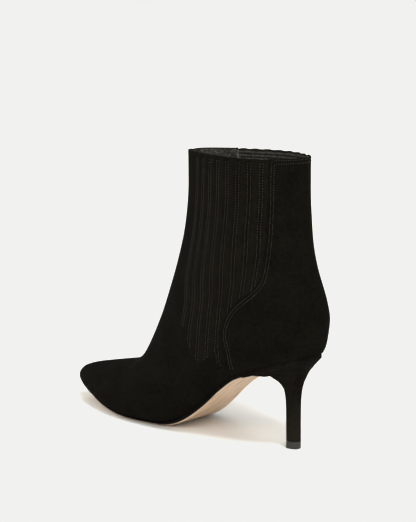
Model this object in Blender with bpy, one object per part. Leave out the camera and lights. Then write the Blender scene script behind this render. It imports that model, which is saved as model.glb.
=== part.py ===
"""Left ankle boot with a mid heel: upper, outsole, heel, top lift and insole.

Sizes are in metres. The toe points along +X, +Y is the wearer's left and +Z is up. The origin
is on the floor, under the middle of the heel's tip.
"""
import math
from collections import namedtuple

import bmesh
import bpy
import numpy as np

MM = 0.001

# Driving dimensions
LENGTH = 250 * MM  # the length that the tables share out, from the back of the seat curve
BALL_WIDTH = 75 * MM
COLLAR_HEIGHT = 221 * MM
HEEL_HEIGHT = 74.5 * MM  # from the floor to the seat, at its back
HEEL_SETBACK = 24.8 * MM  # from the back of the boot to the middle of the heel's tip
TOE_SPRING = 12 * MM
BREAST_ALONG = 23  # the heel's front face at the seat, in percent of the length
OUTER_SIDE = 1  # the sign of Y on the outer side of a left boot

# Thicknesses and fits
WALL = 1.8 * MM
SOLE_EDGE = 3.4 * MM
SOLE_PROUD = 0.8 * MM  # how far the sole's edge stands out around the forefoot
SOLE_BEVEL = 1.0 * MM
BEVEL_RUN = 25 * MM  # over which the bevel dies out ahead of the heel
INSOLE = 2.0 * MM
LIFT_HEIGHT = 6.0 * MM
SEAM = 0.3 * MM  # the gap between pieces that meet
WELD = 0.001 * MM
NUDGE = 0.001  # the share round over which a line's direction is measured

# Raised work on the upper's wall
TUCKS = 8  # ribs across each stretch side panel
TUCK_HEIGHT = 0.6 * MM
TUCK_VALLEY = 0.13  # half the flat between two ribs, as a share of a rib's pitch
TUCK_END = 0.37  # the level at which the foremost rib dies out
TUCK_LONG = 0.5  # the share of the panel behind which the ribs run down to the sole
TUCK_END_CURVE = 1.2
TUCK_FADE_RUN = 0.14
QUARTER_STEP = 0.8 * MM  # the back quarter lies over the side panel
STEP_RUN = 0.004  # the shares round over which the quarter's step rises
HIDE_RUN = 0.012  # and over which the ribs sink ahead of it

# Mesh steps
FRONT_COLUMNS = 14
BACK_COLUMNS = 11
SOLE_STATIONS = 56
SEAT_COLUMNS = 12
BREAST_COLUMNS = 3
EDGE_TURN = slice(5, 12)  # the points of the quarter's edge that need a row of their own

# The line of the sole's underside: percent of the length, percent of the rise to the seat
SolePoint = namedtuple("SolePoint", "along rise")
SOLE_LINE = (
    SolePoint(3, 100),
    SolePoint(9, 93),
    SolePoint(14.5, 86),
    SolePoint(20, 78),
    SolePoint(26.5, 69),
    SolePoint(33.4, 52),
    SolePoint(39.6, 32),
    SolePoint(45.7, 15),
    SolePoint(50, 6.2),
    SolePoint(53.5, 1.9),
    SolePoint(57, 0),
    SolePoint(68.5, 0),
)
TOE_CURVE = 1.6  # the power of the toe spring's curve

# Sections of the upper, from the feather line on the sole up to the collar. Front and back are
# percent of the length, rises percent of the way up to the collar, arch the share of the sole's
# curve that the section follows. Sway to the outer side and the six widths are percent of half
# the ball width.
Section = namedtuple(
    "Section",
    "name front front_rise back back_rise arch sway toe fore ball waist seat heel",
)
SECTIONS = (
    Section("feather", 102.6, 0, 1.4, 0, 1.0, 6, 55, 75, 88, 52, 100, 130),
    Section("rand", 104.9, 1.7, 0.4, 4, 1.0, 5.5, 69, 88, 100, 82, 114, 141),
    Section("wall", 104.2, 4.1, -0.1, 9.5, 0.95, 5, 68, 92, 103, 95, 125, 149),
    Section("toe_top", 100.7, 6.6, -0.5, 15.6, 0.85, 4.5, 65, 90, 101, 103, 127, 152),
    Section("vamp_low", 91.4, 9.7, -0.3, 21, 0.7, 4, 63, 84, 96, 106, 125, 149),
    Section("vamp", 81.6, 12.3, 0.4, 26, 0.55, 3, 64, 83, 92, 104, 119, 142),
    Section("vamp_top", 74.4, 15, 1.3, 31.3, 0.42, 2, 67, 84, 90, 102, 114, 131),
    Section("throat", 71, 19.4, 2.5, 36.8, 0.3, 1.5, 70, 82, 88, 101, 111, 120),
    Section("instep", 65.3, 31.5, 4.5, 45.8, 0.15, 1, 68, 76, 82, 99, 107, 108),
    Section("ankle", 59.4, 48.8, 5.8, 57.4, 0.05, 0.5, 65, 70, 75, 94, 97, 95),
    Section("shin", 54.6, 66.2, 6.6, 71.1, 0, 0, 64, 68, 73, 90, 91, 86),
    Section("shaft", 52.2, 84, 7.1, 86.2, 0, 0, 64.5, 69, 74, 90, 90, 83),
    Section("collar", 52.2, 100, 7.1, 99.8, 0, 0, 64.5, 70, 75, 92, 90, 81),
)
WIDTH_STATIONS = (0, 0.2, 0.38, 0.6, 0.8, 1)  # where the six widths lie, from toe to back

# Lines of the ribs, by percent of the way up: where the first one runs and how far they spread,
# percent of the way round from toe to back
TuckLine = namedtuple("TuckLine", "level first spread")
TUCK_LINES = (
    TuckLine(0, 58, 14),
    TuckLine(6, 57.3, 16),
    TuckLine(10, 55.8, 17.6),
    TuckLine(14, 53.6, 20.8),
    TuckLine(21, 49.1, 25.6),
    TuckLine(27, 46.4, 27.2),
    TuckLine(33, 43.7, 29.4),
    TuckLine(40, 41.5, 33.6),
    TuckLine(50, 38.9, 38.2),
    TuckLine(60, 34, 44.4),
    TuckLine(74, 31.9, 46.4),
    TuckLine(87.6, 31.6, 47.4),
    TuckLine(100, 32.5, 46.8),
)

# The front edge of the back quarter: straight down the shaft, forwards above the ankle, then down
# to the sole. Percent of the way up and round.
EdgePoint = namedtuple("EdgePoint", "level around")
QUARTER_EDGE = (
    EdgePoint(0, 66.5),
    EdgePoint(3.8, 68.3),
    EdgePoint(10.3, 67.1),
    EdgePoint(20.7, 64.2),
    EdgePoint(31.3, 60.7),
    EdgePoint(34, 60.4),
    EdgePoint(37.8, 62.1),
    EdgePoint(39.3, 63.5),
    EdgePoint(40.7, 66.5),
    EdgePoint(42, 70.3),
    EdgePoint(43.7, 72.7),
    EdgePoint(46.8, 75),
    EdgePoint(54, 76.1),
    EdgePoint(77, 77),
    EdgePoint(100, 77.5),
)

# Rings of the heel from its tip up: millimetres, the share of the way out to the seat, and how far
# below the sole's line they stay, in millimetres
HeelRing = namedtuple("HeelRing", "height front back half_width seat drop")
HEEL_RINGS = (
    HeelRing(6, 3.2, -5.5, 5.1, 0, 0.3),
    HeelRing(22, 3.4, -5.3, 5.2, 0, 0.3),
    HeelRing(36, 3.7, -5.3, 5.4, 0, 0.3),
    HeelRing(45, 4.6, -6, 6.3, 0, 0.3),
    HeelRing(50.5, 6.3, -6.4, 7.7, 0.04, 5.4),
    HeelRing(54.5, 7.9, -5.7, 9.2, 0.17, 4.8),
    HeelRing(57.5, 9, -4.4, 10.4, 0.31, 4.2),
    HeelRing(60, 9.8, -2.7, 10.5, 0.48, 2.4),
    HeelRing(62, 10.5, -0.7, 10.6, 0.68, 0.3),
)
SEAT_POWER = 2.7  # how late the flare climbs to the seat
HEEL_ROUND = 2.6  # the powers that round the column's back into a D
HEEL_SIDE = 0.8

# Finishes: colour, roughness
Finish = namedtuple("Finish", "colour roughness")
SUEDE = Finish((0.008, 0.007, 0.006), 0.95)
TAN_LEATHER = Finish((0.61, 0.46, 0.33), 0.55)
RUBBER = Finish((0.03, 0.033, 0.03), 0.6)
SOCK = Finish((0.03, 0.03, 0.032), 0.8)


def along(percent):
    """Return X at a percentage of the boot's length."""
    return np.asarray(percent, float) * LENGTH / 100 - HEEL_SETBACK


def smooth_step(value):
    """Return value clamped to 0..1 and eased at both ends."""
    share = np.clip(value, 0, 1)
    return share * share * (3 - 2 * share)


def natural_spline(knots, values, at):
    """Return the natural cubic spline through values at knots, read at the places asked for."""
    knots = np.asarray(knots, float)
    values = np.asarray(values, float)
    at = np.asarray(at, float)
    step = np.diff(knots)
    count = len(knots)
    matrix = np.eye(count)
    right = np.zeros((count,) + values.shape[1:])
    slope = (np.diff(values, axis=0).T / step).T
    for i in range(1, count - 1):
        matrix[i, i - 1:i + 2] = step[i - 1], 2 * (step[i - 1] + step[i]), step[i]
        right[i] = 6 * (slope[i] - slope[i - 1])
    bend = np.linalg.solve(matrix, right)
    i = np.clip(np.searchsorted(knots, at) - 1, 0, count - 2)
    extra = (1,) * (values.ndim - 1)
    width = step[i].reshape(at.shape + extra)
    before = (knots[i + 1] - at).reshape(at.shape + extra)
    after = (at - knots[i]).reshape(at.shape + extra)
    cubic = (bend[i] * before ** 3 + bend[i + 1] * after ** 3) / (6 * width)
    start = (values[i] / width - bend[i] * width / 6) * before
    end = (values[i + 1] / width - bend[i + 1] * width / 6) * after
    return cubic + start + end


def monotone_curve(knots, values, at):
    """Return the cubic through values at knots that never overshoots them."""
    knots = np.asarray(knots, float)
    values = np.asarray(values, float)
    step = np.diff(knots)
    slope = np.diff(values) / step
    tangent = np.concatenate([slope[:1], np.zeros(len(slope) - 1), slope[-1:]])
    for i in range(1, len(slope)):
        if slope[i - 1] * slope[i] > 0:
            left = 2 * step[i] + step[i - 1]
            right = step[i] + 2 * step[i - 1]
            tangent[i] = (left + right) / (left / slope[i - 1] + right / slope[i])
    i = np.clip(np.searchsorted(knots, at) - 1, 0, len(step) - 1)
    u = (at - knots[i]) / step[i]
    keep = (1 + 2 * u) * (1 - u) ** 2 * values[i] + u ** 2 * (3 - 2 * u) * values[i + 1]
    lean = u * (1 - u) ** 2 * tangent[i] + u ** 2 * (u - 1) * tangent[i + 1]
    return keep + lean * step[i]


def sole_bottom(x):
    """Return the height of the sole's underside at x: seat, arch, flat tread and toe spring."""
    x = np.asarray(x, float)
    knots = along([point.along for point in SOLE_LINE])
    rises = [point.rise / 100 * (HEEL_HEIGHT - SOLE_EDGE) for point in SOLE_LINE]
    toe = along(SECTIONS[0].front)
    spring = np.clip((x - knots[-1]) / (toe - knots[-1]), 0, None) ** TOE_CURVE * TOE_SPRING
    return monotone_curve(knots, rises, np.minimum(x, knots[-1])) + spring


def sole_top(x):
    """Return the height of the line where the sole and the upper meet at x."""
    return sole_bottom(x) + SOLE_EDGE


class Last:
    """The boot's outer surface, by the share round from toe to back and up to the collar."""

    def __init__(self, sections):
        column = {name: np.array([getattr(row, name) for row in sections])
                  for name in Section._fields if name != "name"}
        half = BALL_WIDTH / 2 / 100
        front = along(column["front"])
        back = along(column["back"])
        front_foot = sole_top(front[0])
        back_foot = sole_top(back[0])
        front_z = front_foot + column["front_rise"] / 100 * (COLLAR_HEIGHT - front_foot)
        back_z = back_foot + column["back_rise"] / 100 * (COLLAR_HEIGHT - back_foot)
        widths = [column[name] * half for name in ("toe", "fore", "ball", "waist", "seat", "heel")]
        steps = np.hypot(np.diff(front), np.diff(front_z)) + np.hypot(np.diff(back), np.diff(back_z))
        girth = np.concatenate([[0], np.cumsum(steps)])
        self.levels = girth / girth[-1]
        self.table = np.stack([front, back, front_z, back_z, column["arch"],
                               column["sway"] * half, *widths], axis=1)

    def points(self, around, level, side):
        """Return the surface's points; side is the sign of Y."""
        around, level = np.broadcast_arrays(np.asarray(around, float), np.asarray(level, float))
        row = np.moveaxis(natural_spline(self.levels, self.table, level), -1, 0)
        front, back, front_z, back_z, arch, sway = row[:6]
        foot = self.table[0]
        share = (1 - np.cos(math.pi * around)) / 2
        foot_x = foot[0] + (foot[1] - foot[0]) * share
        foot_z = foot[2] + (foot[3] - foot[2]) * share
        weights = natural_spline(WIDTH_STATIONS, np.eye(len(WIDTH_STATIONS)), around)
        width = (weights * np.moveaxis(row[6:], 0, -1)).sum(axis=-1)
        bulge = np.sin(math.pi * around)
        x = front + (back - front) * share
        y = side * bulge * width + OUTER_SIDE * sway * bulge ** 2
        z = front_z + (back_z - front_z) * share + arch * (sole_top(foot_x) - foot_z)
        return np.stack([x, y, z], axis=-1)

    def normals(self, around, level, side):
        """Return the surface's outward normals."""
        run = self.points(around + NUDGE, level, side) - self.points(around - NUDGE, level, side)
        low = np.clip(level - NUDGE, 0, 1)
        high = np.clip(level + NUDGE, 0, 1)
        rise = self.points(around, high, side) - self.points(around, low, side)
        normal = np.cross(run, rise) * side
        return normal / np.linalg.norm(normal, axis=-1, keepdims=True)

    def foot_share(self, x):
        """Return the share round at which the feather line reaches x."""
        front, back = self.table[0, :2]
        return math.acos(1 - 2 * (front - x) / (front - back)) / math.pi


def outline(last, shares, inset):
    """Return both sides of the feather line, moved inwards level by inset."""
    sides = []
    for side in (1, -1):
        line = last.points(shares, 0.0, side)
        run = last.points(shares + NUDGE, 0.0, side) - last.points(shares - NUDGE, 0.0, side)
        inward = np.stack([run[:, 1], -run[:, 0], np.zeros(len(run))], axis=-1) * -side
        inward /= np.linalg.norm(inward, axis=1, keepdims=True)
        sides.append(line + inward * np.reshape(inset, (-1, 1)))
    return sides


def mapped_grid(points):
    """Return a mesh grid laid on points[row][column], its coincident points welded."""
    rows = points.shape[0] - 1
    columns = points.shape[1] - 1
    mesh = bmesh.new()
    bmesh.ops.create_grid(mesh, x_segments=columns, y_segments=rows, size=0.5)
    for vert in mesh.verts:
        column = round((vert.co.x + 0.5) * columns)
        row = round((vert.co.y + 0.5) * rows)
        vert.co = points[row][column]
    bmesh.ops.remove_doubles(mesh, verts=mesh.verts, dist=WELD)
    bmesh.ops.recalc_face_normals(mesh, faces=mesh.faces)
    return mesh


def closed_ring(points):
    """Return the rings in points with their first column repeated at the end."""
    return np.concatenate([points, points[:, :1]], axis=1)


def flattened(ring):
    """Return a ring folded onto its centre line, which closes a loft's end."""
    return ring * np.array([1, 0, 1])


def material(name, finish):
    """Return a plain material of one colour and roughness."""
    result = bpy.data.materials.new(name)
    result.use_nodes = True
    shader = result.node_tree.nodes["Principled BSDF"]
    shader.inputs["Base Color"].default_value = (*finish.colour, 1)
    shader.inputs["Roughness"].default_value = finish.roughness
    return result


def add_piece(name, mesh, finish, collection):
    """Add a finished mesh to the collection as a named object with its own material."""
    data = bpy.data.meshes.new(name)
    mesh.to_mesh(data)
    mesh.free()
    data.materials.append(material(name + "_finish", finish))
    collection.objects.link(bpy.data.objects.new(name, data))


def panel_lines(level):
    """Return the first rib, the ribs' spread and the quarter's edge at a level, as shares round."""
    ribs = [line.level / 100 for line in TUCK_LINES]
    first = monotone_curve(ribs, [line.first / 100 for line in TUCK_LINES], level)
    spread = monotone_curve(ribs, [line.spread / 100 for line in TUCK_LINES], level)
    edge = [point.level / 100 for point in QUARTER_EDGE]
    quarter = monotone_curve(edge, [point.around / 100 for point in QUARTER_EDGE], level)
    return first, spread, quarter


def panel_columns():
    """Return the upper's mesh columns on one side: zone, share of the zone, rib and step."""
    columns = [(0, i / FRONT_COLUMNS, 0, 0) for i in range(FRONT_COLUMNS)]
    columns.append((1, 0, 0, 0))
    for rib in range(TUCKS):
        columns.append((1, (rib + 0.5) / TUCKS, 1, 0))
        if rib < TUCKS - 1:
            columns.append((1, (rib + 1 - TUCK_VALLEY) / TUCKS, 0, 0))
            columns.append((1, (rib + 1 + TUCK_VALLEY) / TUCKS, 0, 0))
    columns.append((1, 1, 0, 0))
    columns += [(2, i / BACK_COLUMNS, 0, 1) for i in range(BACK_COLUMNS + 1)]
    return np.array(columns, float)


def upper_wall(last, levels, depth):
    """Return rings of the upper's wall: depth inwards, or with the raised work where depth is 0."""
    zone, share, rib, step = panel_columns().T
    level = levels[:, None]
    first, spread, quarter = panel_lines(level)
    edge = quarter - STEP_RUN
    tuck = np.minimum(first + spread * share, edge)
    back = quarter + (1 - quarter) * share
    around = np.select([zone == 0, zone == 1], [first * share, tuck], back)
    ends = TUCK_END * (1 - np.minimum(share / TUCK_LONG, 1) ** TUCK_END_CURVE)
    full = smooth_step((level - ends) / TUCK_FADE_RUN) * smooth_step((edge - around) / HIDE_RUN)
    relief = rib * full * TUCK_HEIGHT + step * QUARTER_STEP
    lift = relief if depth == 0 else np.full(around.shape, -depth)
    sides = []
    for side in (1, -1):
        normal = last.normals(around, level, side)
        normal[[0, -1], :, 2] = 0
        normal /= np.linalg.norm(normal, axis=-1, keepdims=True)
        sides.append(last.points(around, level, side) + normal * lift[..., None])
    left, right = sides
    return np.concatenate([left, right[:, -2:0:-1]], axis=1) + np.array([0, 0, SEAM / 2])


def build_upper(last, collection):
    """Build the hollow upper: outer wall with its raised work, collar rim, inner wall, lower rim."""
    middles = (last.levels[1:] + last.levels[:-1]) / 2
    turns = [point.level / 100 for point in QUARTER_EDGE[EDGE_TURN]]
    outside = upper_wall(last, np.sort(np.concatenate([last.levels, middles, turns])), 0)
    inside = upper_wall(last, last.levels, WALL)[::-1]
    mesh = mapped_grid(closed_ring(np.concatenate([outside, inside, outside[:1]])))
    add_piece("upper", mesh, SUEDE, collection)


def build_outsole(last, collection):
    """Build the outsole from toe to breast: rings across it, its edge proud at the forefoot."""
    breast = along(BREAST_ALONG) + SEAM / 2
    shares = np.linspace(0, last.foot_share(breast), SOLE_STATIONS)
    tread = along(SOLE_LINE[-2].along)
    line = last.points(shares, 0.0, 1)[:, 0]
    proud = SOLE_PROUD * smooth_step((line - breast) / (tread - breast))
    left, right = outline(last, shares, -proud)
    width = left[:, 1] - right[:, 1]
    bevel = SOLE_BEVEL * smooth_step(width / (4 * SOLE_BEVEL))
    bevel *= smooth_step((line - breast) / BEVEL_RUN)
    under = sole_bottom(left[:, 0])
    top = under + SOLE_EDGE - SEAM / 2
    rings = np.stack([
        np.column_stack([left[:, :2], top]),
        np.column_stack([left[:, :2], under + SOLE_BEVEL]),
        np.column_stack([left[:, 0], left[:, 1] - bevel, under]),
        np.column_stack([right[:, 0], right[:, 1] + bevel, under]),
        np.column_stack([right[:, :2], under + SOLE_BEVEL]),
        np.column_stack([right[:, :2], top]),
    ], axis=1)
    mesh = mapped_grid(closed_ring(rings))
    rim = [edge for edge in mesh.edges if edge.is_boundary]
    bmesh.ops.holes_fill(mesh, edges=rim)
    bmesh.ops.recalc_face_normals(mesh, faces=mesh.faces)
    add_piece("outsole", mesh, TAN_LEATHER, collection)


def column_half(ring, side):
    """Return one side of a D-shaped heel ring: across its breast, then round to its back."""
    turn = np.cos(np.linspace(0, math.pi / 2, SEAT_COLUMNS))
    depth = (ring.front - ring.back) * np.sqrt(1 - turn ** HEEL_ROUND)
    curve = np.stack([ring.front - depth, ring.half_width * turn ** HEEL_SIDE], axis=-1) * MM
    breast = np.linspace(0, 1, BREAST_COLUMNS, endpoint=False)[:, None] * curve[0]
    breast[:, 0] = curve[0, 0]
    return np.concatenate([breast, curve]) * np.array([1, side])


def seat_half(last, side):
    """Return one side of the heel seat's outline, with the points of column_half."""
    shares = np.linspace(last.foot_share(along(BREAST_ALONG) - SEAM / 2), 1, SEAT_COLUMNS)
    curve = last.points(shares, 0.0, side)[:, :2]
    breast = np.linspace(0, 1, BREAST_COLUMNS, endpoint=False)[:, None] * curve[0]
    breast[:, 0] = curve[0, 0]
    return np.concatenate([breast, curve])


def whole_ring(halves):
    """Return a ring from its two sides, without repeating the points that they share."""
    left, right = halves
    return np.concatenate([left, right[-2:0:-1]])


def build_heel(last, collection):
    """Build the heel: a slim column that opens out to the seat under the upper."""
    seat = whole_ring([seat_half(last, side) for side in (1, -1)])
    rings = []
    for ring in HEEL_RINGS:
        column = whole_ring([column_half(ring, side) for side in (1, -1)])
        plan = column + (seat - column) * ring.seat
        ceiling = sole_bottom(plan[:, 0]) - ring.drop * MM
        level = ring.height * MM + (ceiling - ring.height * MM) * ring.seat ** SEAT_POWER
        rings.append(np.column_stack([plan, np.minimum(level, ceiling)]))
    rings.append(np.column_stack([seat, sole_bottom(seat[:, 0])]))
    rings.append(np.column_stack([seat, sole_top(seat[:, 0]) - SEAM / 2]))
    rings = [flattened(rings[0]), *rings, flattened(rings[-1])]
    add_piece("heel", mapped_grid(closed_ring(np.array(rings))), SUEDE, collection)


def build_top_lift(collection):
    """Build the rubber tip, which carries the heel on the floor."""
    plan = whole_ring([column_half(HEEL_RINGS[0], side) for side in (1, -1)])
    floor = np.column_stack([plan, np.zeros(len(plan))])
    top = floor + np.array([0, 0, LIFT_HEIGHT - SEAM])
    rings = np.array([flattened(floor), floor, top, flattened(top)])
    add_piece("top_lift", mapped_grid(closed_ring(rings)), RUBBER, collection)


def build_insole(last, collection):
    """Build the insole: a sheet inside the upper, on the sole and the heel seat."""
    shares = np.linspace(0, 1, SOLE_STATIONS)
    left, right = outline(last, shares, np.full(SOLE_STATIONS, WALL + 2 * SEAM))
    under = sole_top(left[:, 0]) + SEAM / 2
    rings = np.stack([left, left, right, right], axis=1)
    rings[..., 2] = under[:, None] + np.array([INSOLE, 0, 0, INSOLE])
    add_piece("insole", mapped_grid(closed_ring(rings)), SOCK, collection)


def main():
    """Clear the scene and build the boot's pieces."""
    for item in list(bpy.data.objects):
        bpy.data.objects.remove(item)
    collection = bpy.data.collections.new("ankle_boot")
    bpy.context.scene.collection.children.link(collection)
    last = Last(SECTIONS)
    build_upper(last, collection)
    build_outsole(last, collection)
    build_heel(last, collection)
    build_top_lift(collection)
    build_insole(last, collection)


main()
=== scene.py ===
"""Looks of a left ankle boot in black suede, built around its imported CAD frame.

The toe points along +X, +Y is the wearer's left and the boot's outer side, +Z is up, and the origin
is on the floor under the middle of the heel's tip. Sizes are metres, and mm where a name says so.
"""

import logging
import math
from collections.abc import Iterable, Sequence
from dataclasses import dataclass, field
from enum import Enum, IntEnum
from typing import NamedTuple

import bmesh
import bpy
import numpy as np
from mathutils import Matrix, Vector


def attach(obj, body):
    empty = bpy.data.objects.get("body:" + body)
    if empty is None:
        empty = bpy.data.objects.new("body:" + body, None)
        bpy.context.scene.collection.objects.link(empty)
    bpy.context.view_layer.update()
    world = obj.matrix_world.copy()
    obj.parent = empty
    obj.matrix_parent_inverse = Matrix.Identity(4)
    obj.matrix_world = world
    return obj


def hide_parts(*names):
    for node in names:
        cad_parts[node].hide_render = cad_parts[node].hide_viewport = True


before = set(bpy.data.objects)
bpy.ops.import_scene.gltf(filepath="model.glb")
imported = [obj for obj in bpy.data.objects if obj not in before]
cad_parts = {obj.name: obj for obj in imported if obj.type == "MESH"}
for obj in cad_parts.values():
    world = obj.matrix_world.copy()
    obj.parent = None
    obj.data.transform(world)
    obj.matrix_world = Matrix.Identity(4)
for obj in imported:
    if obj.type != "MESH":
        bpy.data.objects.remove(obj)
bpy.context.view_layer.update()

LOG = logging.getLogger("ankle_boot")
MM = 0.001
BODY = "root"
NUDGE = 0.001  # the share of the surface over which its slope is measured
WELD = 0.002 * MM
SHARP_DEG = 40  # edges that turn further than this stay crisp
UP = np.array([0.0, 0.0, 1.0])

Array = np.ndarray
Nodes = bpy.types.NodeTree
Socket = bpy.types.NodeSocket
Inputs = dict[str | int, object]
Object = bpy.types.Object
Pair = tuple[float, float]


class Side(IntEnum):
    """The sign of Y on each side of a left boot."""

    OUTER = 1
    INNER = -1


class Wave(Enum):
    """How a pattern is pressed together or drawn out along X, Y and Z."""

    LAYERED = (1.0, 9.0, 9.0)
    SANDED = (9.0, 1.0, 9.0)


def smooth_step(value: Array | float) -> Array:
    """Return a value held between 0 and 1 and eased at both ends."""
    share = np.clip(value, 0, 1)
    return share * share * (3 - 2 * share)


def natural_spline(knots: Sequence[float], values: Array, at: Array) -> Array:
    """Read the natural cubic spline through values.

    Args:
        knots: the places of the values, rising.
        values: one value, or one row of values, for each knot.
        at: the places to read.

    Returns:
        The spline's values at those places.
    """
    knots = np.asarray(knots, float)
    values = np.asarray(values, float)
    at = np.asarray(at, float)
    step = np.diff(knots)
    count = len(knots)
    matrix = np.eye(count)
    right = np.zeros((count,) + values.shape[1:])
    slope = (np.diff(values, axis=0).T / step).T
    for i in range(1, count - 1):
        matrix[i, i - 1:i + 2] = step[i - 1], 2 * (step[i - 1] + step[i]), step[i]
        right[i] = 6 * (slope[i] - slope[i - 1])
    bend = np.linalg.solve(matrix, right)
    i = np.clip(np.searchsorted(knots, at) - 1, 0, count - 2)
    extra = (1,) * (values.ndim - 1)
    width = step[i].reshape(at.shape + extra)
    before = (knots[i + 1] - at).reshape(at.shape + extra)
    after = (at - knots[i]).reshape(at.shape + extra)
    cubic = (bend[i] * before ** 3 + bend[i + 1] * after ** 3) / (6 * width)
    start = (values[i] / width - bend[i] * width / 6) * before
    end = (values[i + 1] / width - bend[i + 1] * width / 6) * after
    return cubic + start + end


def monotone_curve(knots: Sequence[float], values: Sequence[float], at: Array) -> Array:
    """Read the cubic through values that never overshoots them.

    Args:
        knots: the places of the values, rising.
        values: one value for each knot.
        at: the places to read.

    Returns:
        The curve's values at those places.
    """
    knots = np.asarray(knots, float)
    values = np.asarray(values, float)
    step = np.diff(knots)
    slope = np.diff(values) / step
    tangent = np.concatenate([slope[:1], np.zeros(len(slope) - 1), slope[-1:]])
    for i in range(1, len(slope)):
        if slope[i - 1] * slope[i] > 0:
            left = 2 * step[i] + step[i - 1]
            right = step[i] + 2 * step[i - 1]
            tangent[i] = (left + right) / (left / slope[i - 1] + right / slope[i])
    i = np.clip(np.searchsorted(knots, at) - 1, 0, len(step) - 1)
    u = (at - knots[i]) / step[i]
    keep = (1 + 2 * u) * (1 - u) ** 2 * values[i] + u ** 2 * (3 - 2 * u) * values[i + 1]
    lean = u * (1 - u) ** 2 * tangent[i] + u ** 2 * (u - 1) * tangent[i + 1]
    return keep + lean * step[i]


def linear(colour: str) -> tuple[float, float, float, float]:
    """Turn an sRGB hex colour to linear light.

    Args:
        colour: the colour as #rrggbb.

    Returns:
        Red, green, blue and an alpha of 1.
    """
    shares = [int(colour[i:i + 2], 16) / 255 for i in (1, 3, 5)]
    light = [s / 12.92 if s <= 0.04045 else ((s + 0.055) / 1.055) ** 2.4 for s in shares]
    return (*light, 1.0)


def per_mm(size_mm: float) -> float:
    """Return the texture scale that draws a feature of that size on Object coordinates."""
    return 1 / (size_mm * MM)


def fill(node: bpy.types.Node, inputs: Inputs) -> None:
    """Set a node's inputs.

    Args:
        node: the node to set.
        inputs: by socket name or number, a value to hold or another node's socket to link.
    """
    for key, value in inputs.items():
        if isinstance(value, Socket):
            node.id_data.links.new(value, node.inputs[key])
        else:
            node.inputs[key].default_value = value


def add_node(tree: Nodes, kind: str, inputs: Inputs | None = None,
             **settings: object) -> bpy.types.Node:
    """Add a node with its settings and links.

    Args:
        tree: the material's or world's nodes.
        kind: Blender's name of the node, without its common beginning.
        inputs: values or sockets by input.
        settings: the node's own properties.

    Returns:
        The new node.
    """
    node = tree.nodes.new("ShaderNode" + kind)
    for key, value in settings.items():
        setattr(node, key, value)
    fill(node, inputs or {})
    return node


@dataclass(frozen=True)
class Grain:
    """The grain of a noise: its real size, its finer layers and how strong those are."""

    size_mm: float
    detail: float = 2.0
    roughness: float = 0.5


def noise(tree: Nodes, place: Socket, grain: Grain) -> Socket:
    """Return noise from 0 to 1 with that grain."""
    return add_node(tree, "TexNoise", {"Vector": place, "Scale": per_mm(grain.size_mm),
                                       "Detail": grain.detail,
                                       "Roughness": grain.roughness}).outputs[0]


def weigh(tree: Nodes, value: Socket, factor: float, offset: Socket | float,
          clamp: bool = False) -> Socket:
    """Return value times factor plus offset, held between 0 and 1 where clamp is set."""
    return add_node(tree, "Math", {0: value, 1: factor, 2: offset}, operation="MULTIPLY_ADD",
                    use_clamp=clamp).outputs[0]


def stretch(tree: Nodes, value: Socket, low: float = 0.0, high: float = 1.0, start: float = 0.0,
            end: float = 1.0) -> Socket:
    """Return value with its range from low to high laid out from start to end."""
    return add_node(tree, "MapRange", {"Value": value, "From Min": low, "From Max": high,
                                       "To Min": start, "To Max": end}).outputs[0]


def blend(tree: Nodes, share: Socket, base: Socket | str, tint: str) -> Socket:
    """Return a base colour, in hex or linked, with that share of a tint over it."""
    under = linear(base) if isinstance(base, str) else base
    return add_node(tree, "Mix", {0: share, 6: under, 7: linear(tint)}, data_type="RGBA").outputs[2]


@dataclass(frozen=True)
class Finish:
    """A surface finish that makes one material, from a pattern that tints and roughens it."""

    name: str
    base: str
    tint: str
    roughness: Pair  # where the pattern is low and where it is high
    gloss: float  # the level of its mirror reflection
    relief: float = 0.0  # the strength of the pattern's relief
    relief_mm: float = 0.0  # and its depth
    sunk: bool = False  # whether the pattern goes inwards

    def material(self) -> bpy.types.Material:
        """Make the finish's material at its first use.

        Returns:
            The material.
        """
        known = bpy.data.materials.get(self.name)
        if known is not None:
            return known
        made = bpy.data.materials.new(self.name)
        made.use_nodes = True
        tree = made.node_tree
        place = add_node(tree, "TexCoord").outputs["Object"]
        fill(tree.nodes["Principled BSDF"], self.dress(tree, place))
        return made

    def dress(self, tree: Nodes, place: Socket) -> Inputs:
        """Lay the finish's nodes.

        Args:
            tree: the material's nodes.
            place: the Object coordinates.

        Returns:
            What the shader is given.
        """
        share, height = self.pattern(tree, place)
        low, high = self.roughness
        inputs = {"Base Color": blend(tree, share, self.base, self.tint),
                  "Roughness": low if low == high else stretch(tree, height, start=low, end=high),
                  "Specular IOR Level": self.gloss}
        if self.relief > 0:
            bump = add_node(tree, "Bump", {"Strength": self.relief, "Height": height,
                                           "Distance": self.relief_mm * MM}, invert=self.sunk)
            inputs["Normal"] = bump.outputs[0]
        return inputs

    def pattern(self, tree: Nodes, place: Socket) -> tuple[Socket, Socket]:
        """Return the share of the tint and the pattern's height; each finish has its own."""
        raise NotImplementedError


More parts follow.
